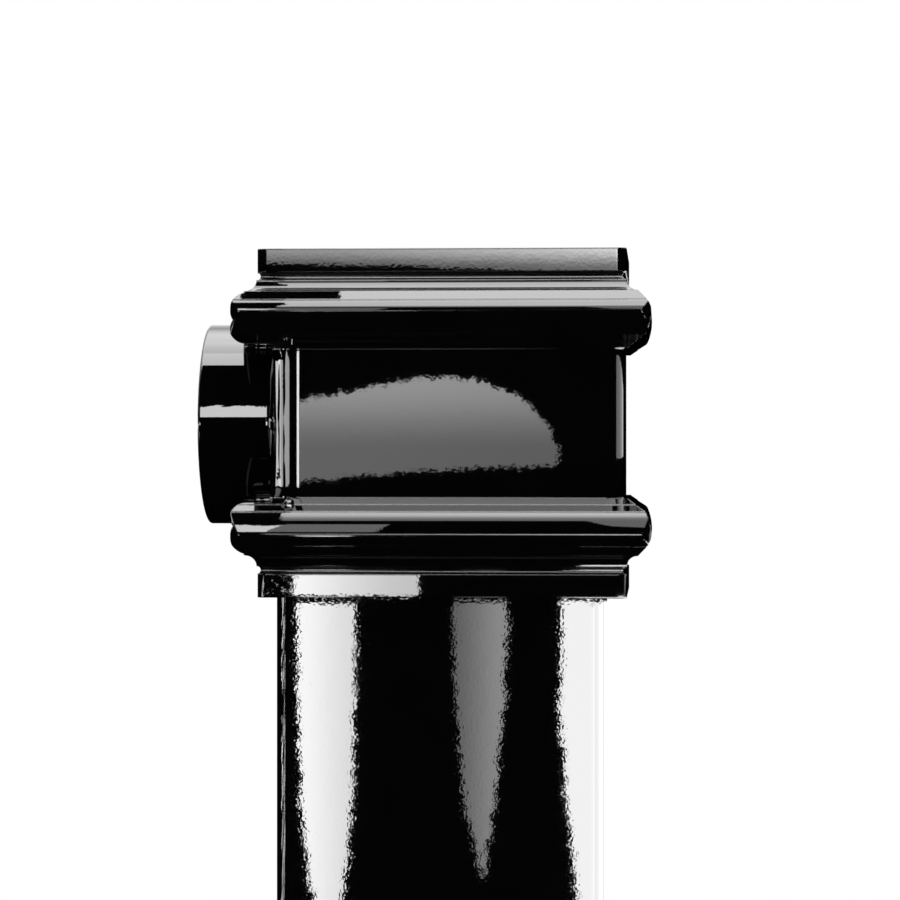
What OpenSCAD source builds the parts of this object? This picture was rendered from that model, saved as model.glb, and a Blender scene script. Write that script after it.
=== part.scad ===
// Rectangular downpipe: a plain extruded pipe whose top end seats in a moulded cast collar.
// The collar is a socket at both ends. A short round inlet stub is let into its wall side.
// Frame: +Z up the pipe, -X toward the wall, origin at the middle of the pipe's lower end.

/* [Pipe] */
// Width of the pipe away from the wall
pipe_w = 102; // [90:1:152]
// Width of the pipe along the wall
pipe_d = 76; // [76:1:102]
// Wall of the pipe
pipe_wall = 2.5; // [1.6:0.1:3.5]
// Outside radius of the pipe's four long corners
pipe_corner = 4; // [4:0.5:8]
// Length of the pipe up to the stop inside the collar
pipe_len = 610; // [200:10:1830]

/* [Socket] */
// Height of the whole collar
collar_h = 108; // [106:0.5:150]
// Play between the pipe and the socket, each side
socket_gap = 1.5; // [1:0.1:2]
// Play that is left on the wall side, where the pipe is pushed over
seat_play = 0.5; // [0.1:0.1:0.8]
// Flare at each mouth that leads the pipe in
mouth_flare = 1; // [0.5:0.1:2]

/* [Lips] */
// Wall of the socket at its lips
lip_wall = 4.7; // [4:0.1:7]
// Height of each plain lip
lip_h = 7.4; // [6:0.1:8.5]
// Outside corner radius of the lips
lip_corner = 3; // [2:0.5:5]

/* [Mouldings] */
// Height of the round groove under the lip
groove_h = 2.3; // [1.4:0.1:2.6]
// Radius of the hollow under the groove
cove_r = 3.5; // [2.8:0.1:3.8]
// Height of the bevel between the hollow and the nose
bevel_h = 2.8; // [2:0.1:3.2]
// How far the nose stands out past the lip
nose_out = 7.6; // [7:0.1:8.5]
// Radius of the nose above its foremost line
nose_r = 4.4; // [3.8:0.1:6]
// Height of the nose above its foremost line
nose_h = 3.1; // [2.6:0.1:3.4]
// Radius of the shallow round front below that line
front_r = 17; // [14:0.5:22]
// Height of that front
front_h = 7.2; // [6.4:0.1:7.6]
// Outside corner radius of the nose
nose_corner = 3; // [2:0.5:6]
// Height of the fine steps between the faces of the mouldings
step_h = 0.3; // [0.1:0.05:0.4]
// Depth of those steps
step_w = 0.2; // [0.1:0.05:0.4]
// How far the slope under the nose starts outside the band
slope_out = 1.3; // [0.8:0.1:2]
// Radius of the upper roll of the wall side
roll_r = 5.6; // [5:0.1:6]
// Radius of the lower roll of the wall side
low_roll_r = 4.3; // [4:0.1:4.6]

/* [Band] */
// Clear height of the flat band between the mouldings
band_h = 46.5; // [44:0.5:48]
// Wall of the band
band_wall = 3.8; // [3:0.1:4.5]
// Outside radius of the band's upright corners away from the wall
band_corner = 6.5; // [3:0.5:7]
// Outside radius of its upright corners beside the panel
panel_corner = 8.5; // [4:0.5:9]
// Wall of the set-in panel on the wall side
panel_wall = 3.6; // [2.5:0.1:5]
// How far the outside of the panel stands out from the pipe
panel_out = 0.6; // [0:0.1:1.5]

/* [Inlet stub] */
// Outside diameter of the round stub
stub_d = 64; // [60:0.5:66]
// Wall of the stub
stub_wall = 3; // [2:0.1:5]
// Length of the stub outside the panel
stub_len = 24.8; // [20:0.1:60]
// Width of the lip at the stub's root that stops the round pipe
stub_lip = 1.5; // [1:0.1:2.5]
// Thickness of that lip
stub_lip_t = 2; // [1.5:0.1:4]
// Depth of the stub's seat in the panel
stub_seat = 1.5; // [0.5:0.1:2]
// Play round the stub in its seat
stub_play = 0.1; // [0.05:0.05:0.3]
// Width of the ledge inside the seat that the stub's end rests on
seat_ledge = 2; // [1:0.1:2.5]
// Size of the filler bead round the root of the stub
stub_bead = 3; // [2:0.1:3.5]
// Rounding of the stub's free edge
stub_edge = 0.8; // [0.3:0.1:1]

/* [Hidden] */
$fn = 96;
PAINT = [0.02, 0.02, 0.022];
OVERCUT = 5;

// Half sizes of the socket, lip, band and nose, X then Y
half_pipe = [pipe_w / 2, pipe_d / 2];
half_socket = [for (h = half_pipe) h + socket_gap];
half_lip = [for (h = half_socket) h + lip_wall];
half_band = [for (h = half_socket) h + band_wall];
half_nose = [for (h = half_lip) h + nose_out];

// The collar stands off the pipe's axis by the play that the pipe gives up on the wall side
collar_shift = socket_gap - seat_play;

// Distances from the pipe's centre plane to the outside and inside of the set-in panel
panel_outer = half_pipe[0] + panel_out + collar_shift;
panel_inner = panel_outer - panel_wall;

// Heights above the middle of the collar, from the mouth down to the band
mouth_z = collar_h / 2;
lip_z = mouth_z - lip_h;
cove_z = lip_z - groove_h;
bevel_z = cove_z - cove_r;
turn_z = bevel_z - bevel_h;
nose_top_z = turn_z - step_h;
nose_z = nose_top_z - nose_h;
front_low_z = nose_z - front_h;
slope_z = band_h / 2;

// How far the nose's rounding takes it back at its upper and lower edges
nose_back = nose_r - sqrt(pow(nose_r, 2) - pow(nose_h, 2));
front_back = front_r - sqrt(pow(front_r, 2) - pow(front_h, 2));

// The hole behind the stub opens into the chamber, and both pipe ends stop clear of the stub's seat
bore_d = stub_d - 2 * stub_wall;
hole_d = stub_d - 2 * seat_ledge;
seat_d = stub_d + 2 * stub_play;
seat_rim = 0.4;
stop_z = seat_d / 2 + seat_rim;
stub_root = panel_outer - stub_seat;
stub_end = panel_outer + stub_len;
collar_z = pipe_len + stop_z;

// The two rolls of the wall side: one lies under the hollow, one on the moulding's flat underside
underside_z = slope_z + slope_out;
roll_z = bevel_z - step_h - roll_r;
low_roll_z = underside_z + low_roll_r;

// A rectangle with round corners, centred, from its half sizes
module rounded_rectangle(half, corner) {
    square([2 * half[0], 2 * (half[1] - corner)], center = true);
    square([2 * (half[0] - corner), 2 * half[1]], center = true);
    for (x = [-1, 1], y = [-1, 1])
        translate([x * (half[0] - corner), y * (half[1] - corner)])
            circle(corner);
}

// Lip, groove and hollow, seen from the side and drawn out to one face of the collar
module lip_outline(lip) {
    difference() {
        translate([0, bevel_z])
            square([lip, mouth_z - bevel_z]);
        translate([lip, cove_z + groove_h / 2])
            circle(groove_h / 2);
    }
    difference() {
        translate([0, bevel_z])
            square([lip + cove_r, cove_r]);
        translate([lip + cove_r, cove_z])
            circle(cove_r);
    }
}

// Bevel, nose and a slope of two faces down to the band, with a fine step between each two
module nose_outline(lip, band) {
    turn_x = lip + nose_out - nose_back - step_w;
    low_x = lip + nose_out - front_back - step_w;
    foot_x = band + slope_out;
    middle_x = (low_x + foot_x) / 2;
    middle_z = (front_low_z + slope_z) / 2;
    polygon([
        [0, nose_top_z],
        [turn_x, nose_top_z],
        [turn_x, turn_z],
        [lip + cove_r, bevel_z],
        [0, bevel_z]
    ]);
    intersection() {
        translate([lip + nose_out - nose_r, nose_z])
            circle(nose_r);
        translate([0, nose_z])
            square([lip + nose_out + OVERCUT, nose_h]);
    }
    intersection() {
        translate([lip + nose_out - front_r, nose_z])
            circle(front_r);
        translate([0, front_low_z])
            square([lip + nose_out + OVERCUT, front_h]);
    }
    polygon([
        [0, slope_z],
        [foot_x, slope_z],
        [middle_x - step_w, middle_z - step_h],
        [middle_x - step_w, middle_z],
        [middle_x, middle_z],
        [low_x, front_low_z - step_h],
        [low_x, front_low_z],
        [lip, front_low_z],
        [lip, nose_top_z],
        [0, nose_top_z]
    ]);
}

// Two rolls in place of the nose, with a flat underside
module rolls_outline(lip) {
    translate([0, underside_z])
        square([lip, bevel_z - underside_z]);
    translate([0, roll_z])
        square([lip + cove_r, bevel_z - roll_z]);
    for (roll = [[roll_r, roll_z], [low_roll_r, low_roll_z]]) {
        translate([lip + nose_out - roll[0], roll[1]])
            circle(roll[0]);
        translate([0, underside_z])
            square([lip + nose_out - roll[0], roll[1] - underside_z]);
    }
}

// Both ends of the collar from the outline of its upper end
module both_ends() {
    children();
    mirror([0, 1])
        children();
}

// The collar as seen along the wall: even on both sides
module elevation_across() {
    both_ends() {
        for (side = [0, 1])
            mirror([side, 0]) {
                lip_outline(half_lip[1]);
                nose_outline(half_lip[1], half_band[1]);
            }
    }
    square([2 * half_band[1], 2 * nose_z], center = true);
}

// The collar as seen with the wall on the left: the band is set in on the wall side
module elevation_along() {
    both_ends() {
        lip_outline(half_lip[0]);
        nose_outline(half_lip[0], half_band[0]);
        mirror([1, 0]) {
            lip_outline(half_lip[0]);
            rolls_outline(half_lip[0]);
        }
    }
    translate([-panel_outer, -nose_z])
        square([panel_outer + half_band[0], 2 * nose_z]);
}

// Stretches an elevation right through the collar, along Y
module through_y() {
    rotate([90, 0, 0])
        linear_extrude(height = 4 * half_nose[1], center = true)
            children();
}

// Stretches an elevation right through the collar, along X
module through_x() {
    rotate([90, 0, 90])
        linear_extrude(height = 4 * half_nose[0], center = true)
            children();
}

// Plan of the band, set in on the wall side, where its corners are rounder
module band_plan() {
    middle = (half_band[0] - panel_outer) / 2;
    half = [half_band[0] - middle, half_band[1]];
    for (end = [[1, band_corner], [-1, panel_corner]])
        intersection() {
            translate([middle, 0])
                rounded_rectangle(half, end[1]);
            translate([middle + end[0] * half[0], 0])
                square([2 * half[0], 4 * half[1]], center = true);
        }
}

// The plans that round off the collar's upright corners, level by level
module stacked_plans() {
    linear_extrude(height = collar_h, center = true)
        rounded_rectangle(half_lip, lip_corner);
    for (end = [0, 1])
        mirror([0, 0, end])
            translate([0, 0, slope_z])
                linear_extrude(height = cove_z - slope_z)
                    rounded_rectangle(half_nose, nose_corner);
}

// The solid outside of the collar
module collar_body() {
    intersection() {
        through_y()
            elevation_along();
        through_x()
            elevation_across();
        union() {
            difference() {
                stacked_plans();
                cube([4 * half_nose[0], 4 * half_nose[1], 2 * slope_z], center = true);
            }
            linear_extrude(height = 2 * slope_z, center = true)
                band_plan();
        }
    }
}

// A mouth outline with its lead-in flare, for one half size of the socket
module mouth_outline(half) {
    translate([-half, stop_z])
        square([2 * half, mouth_z - stop_z + OVERCUT]);
    polygon([
        [-half, mouth_z - mouth_flare],
        [half, mouth_z - mouth_flare],
        [half + mouth_flare + OVERCUT, mouth_z + OVERCUT],
        [-half - mouth_flare - OVERCUT, mouth_z + OVERCUT]
    ]);
}

// The two sockets that take the pipe ends
module sockets() {
    for (end = [0, 1])
        mirror([0, 0, end])
            intersection() {
                through_y()
                    mouth_outline(half_socket[0]);
                through_x()
                    mouth_outline(half_socket[1]);
                linear_extrude(height = collar_h)
                    rounded_rectangle(
                        [for (h = half_socket) h + mouth_flare],
                        pipe_corner + socket_gap
                    );
            }
}

// The chamber between the pipe ends; its wall side stands in and stops both pipes
module chamber() {
    middle = (half_socket[0] - panel_inner) / 2;
    translate([middle, 0, 0])
        linear_extrude(height = 2 * (stop_z + seat_rim), center = true)
            rounded_rectangle([half_socket[0] - middle, half_socket[1]], pipe_corner);
}

// Points whatever stands on the middle of the collar at the wall
module toward_wall() {
    rotate([0, -90, 0])
        children();
}

// The round seat for the stub, let into the panel and through the mouldings beside it
module stub_seat_cut() {
    toward_wall() {
        cylinder(h = stub_end, d = hole_d);
        translate([0, 0, stub_root])
            cylinder(h = stub_end, d = seat_d);
    }
}

// Section of the stub's wall, out from its axis, with a rounded free edge and the stop lip
module stub_section() {
    outside = stub_d / 2;
    inside = bore_d / 2;
    translate([inside, stub_root])
        square([outside - inside, stub_end - stub_edge - stub_root]);
    translate([inside, stub_root])
        square([outside - inside - stub_edge, stub_end - stub_root]);
    translate([outside - stub_edge, stub_end - stub_edge])
        circle(stub_edge);
    translate([inside - stub_lip, stub_root])
        square([stub_lip + stub_wall, stub_lip_t]);
}

// Section of the hollow filler bead in the corner between the stub and the panel
module bead_section() {
    translate([stub_d / 2 - stub_wall / 2, panel_outer])
        square([stub_wall / 2, stub_bead]);
    translate([stub_d / 2, panel_outer])
        difference() {
            square(stub_bead);
            translate([stub_bead, stub_bead])
                circle(stub_bead);
        }
}

module pipe() {
    color(PAINT)
        linear_extrude(height = pipe_len)
            difference() {
                rounded_rectangle(half_pipe, pipe_corner);
                rounded_rectangle(
                    [for (h = half_pipe) h - pipe_wall],
                    max(pipe_corner - pipe_wall, 0.5)
                );
            }
}

module collar() {
    color(PAINT)
        translate([collar_shift, 0, collar_z])
            difference() {
                collar_body();
                sockets();
                chamber();
                stub_seat_cut();
            }
}

// The stub with its bead, which stops at the flat undersides of the two mouldings
module inlet_stub() {
    color(PAINT)
        translate([collar_shift, 0, collar_z]) {
            toward_wall()
                rotate_extrude()
                    stub_section();
            intersection() {
                toward_wall()
                    rotate_extrude()
                        bead_section();
                cube([4 * stub_end, 4 * stub_d, 2 * underside_z], center = true);
            }
        }
}

pipe();
collar();
inlet_stub();
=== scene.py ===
import math
import random

import bmesh
import bpy
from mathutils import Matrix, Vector


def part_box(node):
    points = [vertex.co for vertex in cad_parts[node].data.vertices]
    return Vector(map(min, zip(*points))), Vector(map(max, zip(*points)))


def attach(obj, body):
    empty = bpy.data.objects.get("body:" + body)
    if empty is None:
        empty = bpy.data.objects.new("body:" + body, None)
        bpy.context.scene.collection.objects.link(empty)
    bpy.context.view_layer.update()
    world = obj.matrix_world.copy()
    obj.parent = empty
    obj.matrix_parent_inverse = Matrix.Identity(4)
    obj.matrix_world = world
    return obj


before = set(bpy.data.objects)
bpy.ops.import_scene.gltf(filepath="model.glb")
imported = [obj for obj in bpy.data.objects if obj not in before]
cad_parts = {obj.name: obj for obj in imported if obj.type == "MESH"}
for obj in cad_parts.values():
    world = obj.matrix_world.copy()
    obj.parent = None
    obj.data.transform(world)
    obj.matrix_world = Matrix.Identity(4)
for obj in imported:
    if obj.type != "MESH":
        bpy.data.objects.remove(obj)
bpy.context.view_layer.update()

# A rectangular downpipe in black gloss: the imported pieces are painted, filler is laid round the inlet
# stub, and a studio of light cards gives the gloss what it mirrors

MM = 0.001
WELD_GAP = 0.001 * MM

# The collar's middle and the stub's size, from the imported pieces
collar_low, collar_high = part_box("collar")
stub_low, stub_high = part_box("inlet_stub")
COLLAR_Z = (collar_low[2] + collar_high[2]) / 2
STUB_R = (stub_high[2] - stub_low[2]) / 2

# The casting under the filler: the band, its round corners and the wall-side panel, and the undersides
# and tips of the rolls beside the stub
BAND_HALF_H = 23.25 * MM
BAND_HALF_W = 43.3 * MM
CORNER_R = 8.5 * MM
CORNER_Y = BAND_HALF_W - CORNER_R
PANEL_X = -51.6 * MM
UNDERSIDE_H = 24.55 * MM
ROLL_TIP_X = -63.0 * MM

# Filler is let this deep into what it lies on
SUNK = 0.5 * MM

# Waves of the filler's surface: how many are added up, and the longest
LUMP_WAVES = (9, 60 * MM)
SWAY_WAVES = (6, 40 * MM)
RIDGE_WAVES = (4, 50 * MM)
DROP_WAVES = (3, 6 * MM)

# The bead round the stub's root: its middle radius, what its lumps and its sway add, and the share of it
# that is left at its thin ends
BEAD_R = 1.75 * MM
BEAD_LUMP = 0.55 * MM
BEAD_SWAY = 0.2 * MM
SWAY_PACE = 1.7
SWAY_ASIDE = 3 * MM
TIP_SHARE = 0.15
TAPER_STEPS = 10
BEAD_SIDES = 20
ROOT_STEPS = 120
ROLL_STEPS = 24

# The smear down each corner beside the panel: a thin skin that runs out at its edges
SMEAR_FROM = math.radians(-12)
SMEAR_TO = math.radians(66)
SMEAR_PAST_BAND = 0.3 * MM
SMEAR_EDGE = -0.12 * MM
SMEAR_SKIN = 0.16 * MM
SMEAR_EDGE_SHARE = 1 / 6
SMEAR_STEPS_ACROSS = 36
SMEAR_STEPS_UP = 96

# Its three ridges and the pools at its ends, with their places and widths as shares of its width
RIDGE_H = 0.28 * MM
RIDGE_PLACES = (0.2, 0.5, 0.78)
RIDGE_WIDTH = 0.10
RIDGE_WANDER = 0.05
POOL_H = 0.9 * MM
POOL_REACH = 2.2 * MM
POOL_PLACE = 0.62
POOL_WIDTH = 0.22

# The drops at the smear's two ends, with their height above the collar's middle
DROP_X = -46.0 * MM
DROP_Y = 46.6 * MM
DROP_H = 25.6 * MM
DROP_R = 2.0 * MM
DROP_HALF_H = 2.5 * MM
DROP_RIPPLE = 0.14
DROP_LEAN = 0.10
DROP_STEPS_ROUND = 24
DROP_STEPS_DOWN = 14

# Black gloss paint: the sizes of its orange peel, lumps and tint, in mm, and its two blacks
BROAD_PEEL_MM = 4.0
FINE_PEEL_MM = 1.0
LUMP_MM = 2.2
TINT_MM = 14
THICK_BLACK = (0.0006, 0.0006, 0.0007, 1)
THIN_BLACK = (0.0014, 0.0014, 0.0015, 1)

# The camera: level, a little to the right of square on, with its lens in mm
CAMERA_TURN = math.radians(3.64)
CAMERA_DISTANCE = 1.062
CAMERA_ASIDE = 1.0 * MM
CAMERA_BELOW_MIDDLE = 8.3 * MM
CAMERA_LENS = 132

# The studio, in metres: the wall of light cards stands behind the camera, under a lit ceiling
CARD_WALL_Y = -2.2
SIDE_WALL_X = 1.6
CEILING_UP = 2.7
FLOOR_R = 1.7
FLOOR_SIDES = 64
FLOOR_PALE = (0.86, 0.86, 0.86, 1)

# The overhead light for the floor
OVERHEAD_SIZE = 1.6
OVERHEAD_UP = 1.5
OVERHEAD_BACK = 0.2
OVERHEAD_WATTS = 20

# How a dappled card breaks up: the size of its spots, how full it is from one end to the other, and
# the edge of a spot
DAPPLE_MM = 2.6
DAPPLE_FILL = (-0.16, 0.30)
DAPPLE_EDGE = (0.50, 0.52)

# The gaps of a speckled card, drawn long along the walls because the pipe's corner squeezes them
SPECK_MM = 5.0
SPECK_SCALE = (0.008, 0.008, 1.0)
SPECK_EDGE = (0.59, 0.61)

# The windows on the card wall: the steps and depth of their ragged edges, and their dappled left end
WINDOW_STEP = 0.0025
WINDOW_RAG = 0.0025
WINDOW_SPOTS = (-0.290, -0.278)

# The ceiling and the dark gap in it over the stub
CEILING_STRENGTH = 11
CEILING_RIGHT = 0.9
CEILING_LEFT = -1.5
GAP_RIGHT = -0.288
GAP_LEFT = -0.40
GAP_FRONT = -0.14
GAP_BACK = -0.03

# The room beyond the cards, by direction: X to the right, Y to the back, Z up. A pair is where a light
# begins and where it is full, and a pair of strengths belongs to the rise or fall before it
HIGH_EDGE = (0.12, 0.16)
HIGH_BACK = (-0.1, 0.1)
HIGH_RISE = (0.5, 1.0)
HIGH_STRENGTHS = (1.2, 8.0)
LOW_TOP = (-0.0452, -0.0465)
LOW_BOTTOM = (-0.45, -0.40)
LOW_RIGHT = (0.0, 0.01)
LOW_FALL = (0.3, 0.9)
LOW_STRENGTHS = (12.0, 1.6)


# Material and piece helpers

def new_material(name):
    material = bpy.data.materials.new(name)
    material.use_nodes = True
    material.node_tree.nodes.clear()
    return material, material.node_tree


def add(tree, kind, **values):
    """A node with its properties and unlinked inputs set by name."""
    node = tree.nodes.new(kind)
    for key, value in values.items():
        if hasattr(node, key):
            setattr(node, key, value)
        else:
            node.inputs[key.replace("_", " ")].default_value = value
    return node


def join(tree, output, target):
    tree.links.new(output, target)


def show(tree, shader, kind="ShaderNodeOutputMaterial"):
    join(tree, shader, add(tree, kind).inputs["Surface"])


def object_place(tree):
    return add(tree, "ShaderNodeTexCoord").outputs["Object"]


def axes(tree, place):
    node = add(tree, "ShaderNodeSeparateXYZ")
    join(tree, place, node.inputs["Vector"])
    return node.outputs["X"], node.outputs["Y"], node.outputs["Z"]


def stretched(tree, place, scale):
    node = add(tree, "ShaderNodeMapping", Scale=scale)
    join(tree, place, node.inputs["Vector"])
    return node.outputs["Vector"]


def noise(tree, place, size_mm, detail=2.0, roughness=0.5):
    """Noise whose blobs are about size_mm across."""
    node = add(tree, "ShaderNodeTexNoise", Scale=1 / (size_mm * MM), Detail=detail, Roughness=roughness)
    join(tree, place, node.inputs["Vector"])
    return node.outputs["Fac"]


def bump(tree, height, depth_mm, normal):
    """A bump of depth_mm from a height of 0 to 1, on top of another normal."""
    node = add(tree, "ShaderNodeBump", Strength=1.0, Distance=depth_mm * MM)
    join(tree, height, node.inputs["Height"])
    join(tree, normal, node.inputs["Normal"])
    return node.outputs["Normal"]


def between(tree, value, low, high, to_low=0.0, to_high=1.0, curve="SMOOTHSTEP"):
    """Maps low to high onto to_low to to_high, held at both ends."""
    node = add(
        tree, "ShaderNodeMapRange", interpolation_type=curve,
        From_Min=low, From_Max=high, To_Min=to_low, To_Max=to_high,
    )
    join(tree, value, node.inputs["Value"])
    return node.outputs["Result"]


def combined(tree, operation, first, second):
    node = add(tree, "ShaderNodeMath", operation=operation)
    join(tree, first, node.inputs[0])
    join(tree, second, node.inputs[1])
    return node.outputs["Value"]


def times(tree, first, second):
    return combined(tree, "MULTIPLY", first, second)


def plus(tree, first, second):
    return combined(tree, "ADD", first, second)


def new_piece(name, mesh, material):
    mesh.materials.append(material)
    piece = bpy.data.objects.new(name, mesh)
    bpy.context.scene.collection.objects.link(piece)
    return piece


# Black gloss paint

def gloss_paint(name, edge, wave, wave_depth, peel_depth, lump_depth=0.0):
    """Thick black gloss, with sizes in mm: rounded edges, slow waves, orange peel, and lumps on filler."""
    material, tree = new_material(name)
    place = object_place(tree)
    normal = add(tree, "ShaderNodeBevel", samples=6, Radius=edge * MM).outputs["Normal"]
    normal = bump(tree, noise(tree, place, wave, detail=1.0), wave_depth, normal)
    normal = bump(tree, noise(tree, place, BROAD_PEEL_MM, detail=0.0), peel_depth, normal)
    normal = bump(tree, noise(tree, place, FINE_PEEL_MM, detail=1.0), peel_depth, normal)
    if lump_depth > 0:
        normal = bump(tree, noise(tree, place, LUMP_MM), lump_depth, normal)

    tint = add(tree, "ShaderNodeMix", data_type="RGBA")
    tint.inputs["A"].default_value = THICK_BLACK
    tint.inputs["B"].default_value = THIN_BLACK
    join(tree, noise(tree, place, TINT_MM), tint.inputs["Factor"])

    paint = add(tree, "ShaderNodeBsdfPrincipled", IOR=1.5, Roughness=0.01)
    join(tree, tint.outputs["Result"], paint.inputs["Base Color"])
    join(tree, normal, paint.inputs["Normal"])
    show(tree, paint.outputs["BSDF"])
    return material


def paint_node(node_name, material):
    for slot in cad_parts[node_name].material_slots:
        slot.material = material


paint_node("pipe", gloss_paint("pipe paint", edge=0.2, wave=30, wave_depth=0.0012, peel_depth=0.0014))
paint_node("collar", gloss_paint("casting paint", edge=0.6, wave=20, wave_depth=0.0022, peel_depth=0.0008))
paint_node("inlet_stub", gloss_paint("stub paint", edge=0.4, wave=20, wave_depth=0.0022, peel_depth=0.0012))


# Filler round the stub's root and down the corners beside the panel

def slow_waves(random_source, count, longest):
    """A sum of sine waves with random phases, from -1 to 1, over a length in metres."""
    full_turn = 2 * math.pi
    waves = [
        (random_source.uniform(0.6, 1.0) / k, full_turn * k / longest, random_source.uniform(0, full_turn))
        for k in range(1, count + 1)
    ]
    total = sum(size for size, rate, phase in waves)
    return lambda s: sum(size * math.sin(rate * s + phase) for size, rate, phase in waves) / total


def hill(away, reach):
    """1 at no distance away, and falling off smoothly on both sides."""
    return math.exp(-(away / reach) ** 2)


def filler_piece(name, points, faces, material):
    """A closed lump of filler from its points and faces."""
    mesh = bpy.data.meshes.new(name)
    mesh.from_pydata(points, [], faces)
    work = bmesh.new()
    work.from_mesh(mesh)
    bmesh.ops.remove_doubles(work, verts=work.verts, dist=WELD_GAP)
    bmesh.ops.recalc_face_normals(work, faces=work.faces)
    work.to_mesh(mesh)
    work.free()
    for face in mesh.polygons:
        face.use_smooth = True
    piece = new_piece(name, mesh, material)
    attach(piece, "root")


def filler_path(side):
    """From the upper roll's tip along the stub to the panel, round the root, and out at the lower roll."""
    r = STUB_R + SUNK
    root_x = PANEL_X - SUNK
    start = math.asin((UNDERSIDE_H - SUNK) / r)
    way_in = [(ROLL_TIP_X + (root_x - ROLL_TIP_X) * i / ROLL_STEPS, start) for i in range(ROLL_STEPS)]
    round_root = [(root_x, start - 2 * start * i / ROOT_STEPS) for i in range(ROOT_STEPS + 1)]
    way_out = [(x, -turn) for x, turn in reversed(way_in)]
    return [
        Vector((x, side * r * math.cos(turn), COLLAR_Z + r * math.sin(turn)))
        for x, turn in way_in + round_root + way_out
    ]


def filler_bead(name, side, seed, material):
    """A lumpy bead along the path, as a closed tube that is half sunk in the corner it fills."""
    random_source = random.Random(seed)
    path = filler_path(side)
    lumps = slow_waves(random_source, *LUMP_WAVES)
    sway = slow_waves(random_source, *SWAY_WAVES)
    points, faces = [], []
    length = 0.0
    last = len(path) - 1
    for i, place in enumerate(path):
        behind = path[max(i - 1, 0)]
        ahead = (path[min(i + 1, last)] - behind).normalized()
        outward = Vector((0, place.y, place.z - COLLAR_Z)).normalized()
        sideways = ahead.cross(outward).normalized()
        length += (place - behind).length
        taper = min(1.0, TIP_SHARE + min(i, last - i) / TAPER_STEPS)
        for k in range(BEAD_SIDES):
            turn = 2 * math.pi * k / BEAD_SIDES
            swayed = sway(length * SWAY_PACE + SWAY_ASIDE * math.sin(turn))
            r = taper * (BEAD_R + BEAD_LUMP * lumps(length) + BEAD_SWAY * swayed)
            points.append(place + r * (math.cos(turn) * outward + math.sin(turn) * sideways))
    for i in range(last):
        ring = i * BEAD_SIDES
        for k in range(BEAD_SIDES):
            m = (k + 1) % BEAD_SIDES
            faces.append((ring + k, ring + m, ring + BEAD_SIDES + m, ring + BEAD_SIDES + k))
    faces.append(tuple(range(BEAD_SIDES)))
    faces.append(tuple(last * BEAD_SIDES + k for k in range(BEAD_SIDES)))
    filler_piece(name, points, faces, material)


def corner_filler(name, side, seed, material):
    """A thin smear of filler with upright ridges, laid on the round corner beside the panel."""
    random_source = random.Random(seed)
    ridges = [(place, slow_waves(random_source, *RIDGE_WAVES)) for place in RIDGE_PLACES]
    across, up = SMEAR_STEPS_ACROSS, SMEAR_STEPS_UP
    middle_x = PANEL_X + CORNER_R

    def proud(u, h):
        """How far the smear stands off the corner, at a share u of its width and the height h."""
        edge = min(1.0, u / SMEAR_EDGE_SHARE, (1 - u) / SMEAR_EDGE_SHARE)
        ridge = sum(hill(u - place - RIDGE_WANDER * wander(h), RIDGE_WIDTH) for place, wander in ridges)
        pool = hill(abs(h) - BAND_HALF_H, POOL_REACH) * hill(u - POOL_PLACE, POOL_WIDTH)
        return SMEAR_EDGE + edge * (SMEAR_SKIN + RIDGE_H * ridge + POOL_H * pool)

    points, faces = [], []
    for outside in (True, False):
        for i in range(up + 1):
            h = (2 * i / up - 1) * (BAND_HALF_H + SMEAR_PAST_BAND)
            for k in range(across + 1):
                u = k / across
                turn = SMEAR_FROM + (SMEAR_TO - SMEAR_FROM) * u
                r = CORNER_R + (proud(u, h) if outside else -SUNK)
                points.append((
                    middle_x - r * math.cos(turn),
                    side * (CORNER_Y + r * math.sin(turn)),
                    COLLAR_Z + h,
                ))
    row = across + 1
    inside = row * (up + 1)
    for i in range(up):
        for k in range(across):
            a = i * row + k
            faces.append((a, a + 1, a + row + 1, a + row))
            faces.append(tuple(inside + n for n in (a, a + row, a + row + 1, a + 1)))
    rim = list(range(across)) + [i * row + across for i in range(up)]
    rim += [up * row + k for k in range(across, 0, -1)] + [i * row for i in range(up, 0, -1)]
    for a, b in zip(rim, rim[1:] + rim[:1]):
        faces.append((a, b, inside + b, inside + a))
    filler_piece(name, points, faces, material)


def filler_drop(name, side, end, seed, material):
    """A drop of filler at the top or bottom of the smear, on the sloping face of the moulding."""
    ripple = slow_waves(random.Random(seed), *DROP_WAVES)
    centre = Vector((DROP_X, side * DROP_Y, COLLAR_Z + end * DROP_H))
    around, down = DROP_STEPS_ROUND, DROP_STEPS_DOWN
    points = [centre + Vector((0, 0, DROP_HALF_H))]
    for i in range(1, down):
        tilt = math.pi * i / down
        for k in range(around):
            turn = 2 * math.pi * k / around
            swell = 1 + DROP_RIPPLE * ripple(DROP_R * turn) + DROP_LEAN * math.sin(3 * tilt + turn)
            points.append(centre + Vector((
                DROP_R * swell * math.sin(tilt) * math.cos(turn),
                DROP_R * swell * math.sin(tilt) * math.sin(turn),
                DROP_HALF_H * math.cos(tilt),
            )))
    points.append(centre - Vector((0, 0, DROP_HALF_H)))
    last = len(points) - 1
    faces = []
    for k in range(around):
        m = (k + 1) % around
        faces.append((0, 1 + k, 1 + m))
        faces.append((last, last - around + m, last - around + k))
        for i in range(down - 2):
            a = 1 + i * around
            faces.append((a + k, a + around + k, a + around + m, a + m))
    filler_piece(name, points, faces, material)


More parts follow.
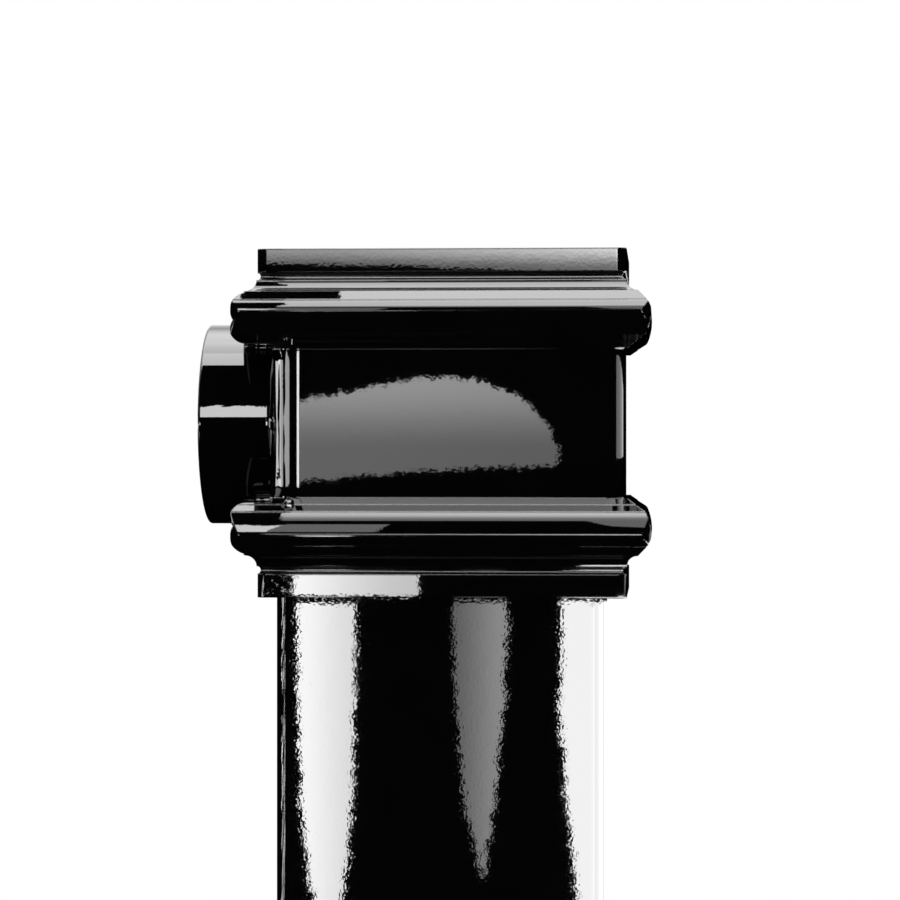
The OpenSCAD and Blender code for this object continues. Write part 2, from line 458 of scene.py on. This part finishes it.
filler_paint = gloss_paint(
    "filler paint", edge=0.3, wave=12, wave_depth=0.004, peel_depth=0.0008, lump_depth=0.02,
)
for where, side, seed in (("front", -1, 3), ("back", 1, 8)):
    filler_bead(where + "_filler_bead", side, seed, filler_paint)
    corner_filler(where + "_corner_filler", side, seed + 20, filler_paint)
    filler_drop(where + "_upper_filler_drop", side, 1, seed + 40, filler_paint)
    filler_drop(where + "_lower_filler_drop", side, -1, seed + 60, filler_paint)


# Light for the gloss to mirror

def glow(tree, strength):
    light = add(tree, "ShaderNodeEmission")
    join(tree, strength, light.inputs["Strength"])
    show(tree, light.outputs["Emission"])


def even_light(name, strength):
    """The same light all over."""
    material, tree = new_material(name)
    show(tree, add(tree, "ShaderNodeEmission", Strength=strength).outputs["Emission"])
    return material


def fading_light(name, strengths, xs, upward=None, dappled=None):
    """Light that changes between two strengths and two places along X.

    With upward (low, high, factor) it changes with height too, and with dappled (x_few, x_full) it
    thins out to a few spots at x_few.
    """
    material, tree = new_material(name)
    place = object_place(tree)
    x, y, z = axes(tree, place)
    strength = between(tree, x, *xs, *strengths)
    if upward is not None:
        low, high, factor = upward
        strength = times(tree, strength, between(tree, z, low, high, 1.0, factor))
    if dappled is not None:
        fill = between(tree, x, *dappled, *DAPPLE_FILL, "LINEAR")
        spots = plus(tree, noise(tree, place, DAPPLE_MM, detail=1.0), fill)
        strength = times(tree, strength, between(tree, spots, *DAPPLE_EDGE))
    glow(tree, strength)
    return material


def speckled_light(name, strength):
    """Light through many small gaps."""
    material, tree = new_material(name)
    place = stretched(tree, object_place(tree), SPECK_SCALE)
    gaps = noise(tree, place, SPECK_MM, detail=1.0)
    glow(tree, between(tree, gaps, *SPECK_EDGE, 0.0, strength))
    return material


def stage_piece(name, points, material):
    """A flat piece of the studio."""
    mesh = bpy.data.meshes.new(name)
    mesh.from_pydata(points, [], [list(range(len(points)))])
    piece = new_piece(name, mesh, material)
    return piece


def light_card(name, points, light):
    """A card that only the gloss sees."""
    piece = stage_piece(name, points, light)
    piece.visible_camera = False
    piece.visible_diffuse = False
    piece.visible_shadow = False


def rectangle(corner, far_corner):
    """The outline of a rectangle between two opposite corners."""
    (a, b), (far_a, far_b) = corner, far_corner
    return [(a, b), (far_a, b), (far_a, far_b), (a, far_b)]


def ragged(line, step, depth, seed):
    """The line with a point about every step, and each new point pushed up to depth off it."""
    random_source = random.Random(seed)
    points = []
    for (x, z), (next_x, next_z) in zip(line, line[1:]):
        length = math.hypot(next_x - x, next_z - z)
        count = max(1, round(length / step))
        points.append((x, z))
        for i in range(1, count):
            share = i / count
            push = random_source.uniform(-depth, depth) / length
            points.append((
                x + (next_x - x) * share - (next_z - z) * push,
                z + (next_z - z) * share + (next_x - x) * push,
            ))
    points.append(line[-1])
    return points


# The card wall. An outline there is X and the height above the collar's middle. The flat faces mirror it
# at about a third of its size, and a height of -0.155 shows just under the lower lip

def card(name, outline, left, right=None, upward=None, dappled=None):
    """A light card with a strength at its left and one at its right, or with one strength all over."""
    if right is None:
        light = even_light(name, left)
    else:
        xs = [x for x, z in outline]
        if upward is not None:
            low, high, factor = upward
            upward = (COLLAR_Z + low, COLLAR_Z + high, factor)
        light = fading_light(name, (left, right), (min(xs), max(xs)), upward, dappled)
    light_card(name, [(x, CARD_WALL_Y, COLLAR_Z + z) for x, z in outline], light)


card(
    "left window head", rectangle((-0.318, -0.112), (-0.164, -0.1489)),
    left=25, right=13.5, dappled=WINDOW_SPOTS,
)
card(
    "left window",
    ragged(
        [(-0.225, -0.157), (-0.229, -0.35), (-0.236, -0.428), (-0.256, -0.52), (-0.270, -0.428),
         (-0.279, -0.35), (-0.283, -0.157)],
        step=WINDOW_STEP, depth=WINDOW_RAG, seed=31,
    ),
    left=23.5, right=17.5, dappled=WINDOW_SPOTS,
)
card(
    "middle strip",
    ragged(
        [(-0.078, -0.1545), (-0.082, -0.253), (-0.091, -0.349), (-0.102, -0.424), (-0.120, -0.349),
         (-0.128, -0.253), (-0.131, -0.1545)],
        step=WINDOW_STEP, depth=WINDOW_RAG, seed=32,
    ),
    left=2.8, right=6.4,
)
card(
    "right window",
    [(0.5, -0.158), (1.0, -0.165), (SIDE_WALL_X, -0.179), (SIDE_WALL_X, -0.9)]
    + ragged(
        [(-0.006, -0.9), (-0.013, -0.426), (-0.021, -0.349), (-0.028, -0.253), (-0.026, -0.1535)],
        step=WINDOW_STEP, depth=0.003, seed=35,
    ),
    left=22, right=24.5,
)
card(
    "low dome",
    ragged(
        [(-0.30, 0.036), (-0.277, 0.040), (-0.235, 0.048), (-0.186, 0.057), (-0.143, 0.062),
         (-0.104, 0.059), (-0.066, 0.044), (-0.039, 0.016), (-0.027, -0.008), (-0.032, -0.023),
         (-0.104, -0.026), (-0.182, -0.029), (-0.277, -0.039), (-0.30, -0.041)],
        step=0.0013, depth=0.0030, seed=33,
    ),
    left=3.0, right=2.7, upward=(-0.010, 0.060, 2.5),
)
card(
    "lip glow",
    [(-0.315, 0.173), (-0.278, 0.171), (-0.181, 0.169), (-0.085, 0.166), (-0.037, 0.163), (0.4, 0.160),
     (0.4, 0.200), (-0.315, 0.200)],
    left=1.6, right=6.0, upward=(0.1655, 0.1885, 4.7),
)
card("corner light", rectangle((-0.75, -0.056), (-0.40, 0.089)), left=20, right=24)
card(
    "stub light",
    [(-0.6, 0.30), (-0.312, 0.30)]
    + ragged([(-0.312, 0.80), (-0.6, 0.80)], step=0.004, depth=0.07, seed=34),
    14,
)
card("left fill", rectangle((-0.312, 0.30), (-0.205, 0.90)), 2.9)
card("right fill", [(-0.01, 1.25), (0.02, 0.75), (0.06, 0.62), (0.4, 0.60), (0.4, 1.25)], 2.8)
card(
    "high softbox",
    [(-0.335, 1.25), (0.9, 1.25), (0.9, CEILING_UP), (-0.434, CEILING_UP)],
    left=3.0, right=3.4, upward=(1.30, 2.10, 3.9),
)


# The side walls. An outline there is Y and the height above the collar's middle

def side_card(name, x, outline, strength, light=even_light):
    light_card(name, [(x, y, COLLAR_Z + z) for y, z in outline], light(name, strength))


side_card("right strip", SIDE_WALL_X, rectangle((-0.3, -0.015), (2.6, 0.065)), 2.4)
side_card("right low strip", SIDE_WALL_X, rectangle((0.2, -0.127), (2.6, -0.073)), 1.6)
side_card(
    "right window turned", SIDE_WALL_X,
    [(CARD_WALL_Y, -0.177), (-1.2, -0.144), (-0.4, -0.1275), (0.4, -0.1275), (1.4, -0.150),
     (1.4, -0.9), (CARD_WALL_Y, -0.9)],
    21,
)
side_card("left strip", -SIDE_WALL_X, rectangle((-1.4, -0.058), (1.6, 0.075)), 7.5)
side_card(
    "left specks", -SIDE_WALL_X, rectangle((CARD_WALL_Y, -0.46), (-0.45, -0.13)), 24, light=speckled_light,
)


# The ceiling and the flags. An outline there is X and Y, and the height is from the collar's middle

def level_card(name, height, outline, strength):
    light_card(name, [(x, y, COLLAR_Z + height) for x, y in outline], even_light(name, strength))


level_card(
    "ceiling", CEILING_UP,
    [(CEILING_RIGHT, CARD_WALL_Y), (CEILING_RIGHT, GAP_FRONT), (CEILING_LEFT, GAP_FRONT),
     (CEILING_LEFT, -0.80), (-0.364, -0.92), (-0.393, -1.54), (-0.434, CARD_WALL_Y)],
    CEILING_STRENGTH,
)
for name, right, left, strength in (
    ("ceiling middle", CEILING_RIGHT, GAP_RIGHT, CEILING_STRENGTH),
    ("ceiling gap", GAP_RIGHT, GAP_LEFT, 0),
    ("ceiling left", GAP_LEFT, CEILING_LEFT, CEILING_STRENGTH),
):
    level_card(name, CEILING_UP, rectangle((right, GAP_FRONT), (left, GAP_BACK)), strength)
level_card("ceiling back", CEILING_UP, rectangle((CEILING_RIGHT, GAP_BACK), (CEILING_LEFT, 1.0)), 8.5)

# Black flags in front of the object keep the low windows out of the mouldings
level_card("upper flag", -0.030, rectangle((-0.9, -0.95), (1.2, -0.18)), 0)
level_card("lower flag", -0.044, rectangle((-0.012, -0.26), (0.35, -0.072)), 0)


# Overhead light, room, floor and camera

def overhead_light():
    """The light that falls on the floor. The gloss doesn't mirror it."""
    data = bpy.data.lights.new("overhead", "AREA")
    data.shape = "SQUARE"
    data.size = OVERHEAD_SIZE
    data.energy = OVERHEAD_WATTS
    light = bpy.data.objects.new("overhead", data)
    light.location = (0, OVERHEAD_BACK, COLLAR_Z + OVERHEAD_UP)
    light.visible_glossy = False
    bpy.context.scene.collection.objects.link(light)


overhead_light()


def studio_world():
    """White, but the gloss mirrors a dark room that is lit high up at the back and low on the right."""
    world = bpy.data.worlds.new("studio")
    world.use_nodes = True
    tree = world.node_tree
    tree.nodes.clear()
    x, y, z = axes(tree, add(tree, "ShaderNodeTexCoord").outputs["Generated"])
    high = times(tree, between(tree, z, *HIGH_RISE, *HIGH_STRENGTHS), between(tree, z, *HIGH_EDGE))
    high_back = times(tree, high, between(tree, y, *HIGH_BACK))
    low = times(tree, between(tree, z, *LOW_TOP), between(tree, z, *LOW_BOTTOM))
    right = times(tree, between(tree, x, *LOW_RIGHT), between(tree, y, *LOW_FALL, *LOW_STRENGTHS))
    room = add(tree, "ShaderNodeBackground", Color=(1, 1, 1, 1))
    join(tree, plus(tree, high_back, times(tree, low, right)), room.inputs["Strength"])
    white = add(tree, "ShaderNodeBackground", Color=(1, 1, 1, 1), Strength=1.0)
    mirrored = add(tree, "ShaderNodeLightPath").outputs["Is Glossy Ray"]
    pick = add(tree, "ShaderNodeMixShader")
    join(tree, mirrored, pick.inputs["Fac"])
    join(tree, white.outputs["Background"], pick.inputs[1])
    join(tree, room.outputs["Background"], pick.inputs[2])
    show(tree, pick.outputs["Shader"], "ShaderNodeOutputWorld")
    bpy.context.scene.world = world


studio_world()


def floor():
    material, tree = new_material("pale floor")
    surface = add(tree, "ShaderNodeBsdfPrincipled", Base_Color=FLOOR_PALE, Roughness=0.8)
    show(tree, surface.outputs["BSDF"])
    turns = [2 * math.pi * i / FLOOR_SIDES for i in range(FLOOR_SIDES)]
    rim = [(FLOOR_R * math.cos(turn), FLOOR_R * math.sin(turn), 0.0) for turn in turns]
    stage_piece("floor", rim, material).visible_glossy = False


floor()


def camera():
    data = bpy.data.cameras.new("camera")
    data.lens = CAMERA_LENS
    piece = bpy.data.objects.new("camera", data)
    turn_sin, turn_cos = math.sin(CAMERA_TURN), math.cos(CAMERA_TURN)
    piece.location = (
        CAMERA_ASIDE * turn_cos + CAMERA_DISTANCE * turn_sin,
        CAMERA_ASIDE * turn_sin - CAMERA_DISTANCE * turn_cos,
        COLLAR_Z - CAMERA_BELOW_MIDDLE,
    )
    piece.rotation_euler = (math.pi / 2, 0, CAMERA_TURN)
    bpy.context.scene.collection.objects.link(piece)
    bpy.context.scene.camera = piece


camera()
bpy.context.scene.view_settings.view_transform = "Standard"
